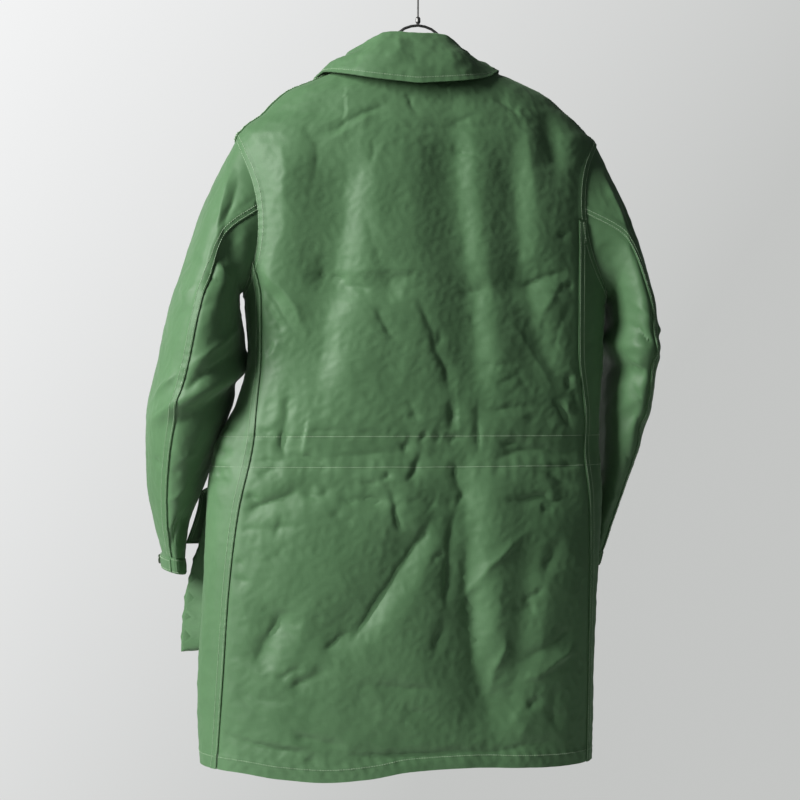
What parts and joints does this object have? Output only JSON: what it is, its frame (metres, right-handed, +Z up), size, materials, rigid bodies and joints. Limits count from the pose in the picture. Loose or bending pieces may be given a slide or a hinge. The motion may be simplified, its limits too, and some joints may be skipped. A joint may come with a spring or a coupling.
{
  "type": "field coat on a wire hanger",
  "caption": "Mid-thigh cotton sateen field coat with folded collar, waist channel, two-piece sleeves and flapped bellows pockets, buttoned on a bent-wire hanger.",
  "frame": {"origin": "where the hook's crook bears on a rail, the inside top of the crook", "axes": "+Z up, -Y the way the wearer's front faces, +X the wearer's left"},
  "size_m": [0.6956, 0.2769, 1.1342],
  "materials": {
    "cloth": "green cotton sateen, satin weave with a soft sheen",
    "button": "dull green moulded plastic",
    "hanger_steel": "plain drawn wire, dark"
  },
  "bodies": {
    "root": {"back": "cloth", "left_front": "cloth", "right_front": "cloth", "collar": "cloth", "left_sleeve_upper": "cloth", "left_sleeve_under": "cloth", "left_cuff": "cloth", "left_cuff_tab": "cloth", "left_pocket": "cloth", "left_pocket_flap": "cloth", "left_cuff_button": "button", "left_flap_button": "button", "right_sleeve_upper": "cloth", "right_sleeve_under": "cloth", "right_cuff": "cloth", "right_cuff_tab": "cloth", "right_pocket": "cloth", "right_pocket_flap": "cloth", "right_cuff_button": "button", "right_flap_button": "button", "front_button_1": "button", "front_button_2": "button", "front_button_3": "button", "front_button_4": "button", "front_button_5": "button", "front_button_6": "button", "hanger_frame": "hanger_steel", "hanger_hook": "hanger_steel", "hanger_ferrule": "hanger_steel"}
  },
  "joints": []
}
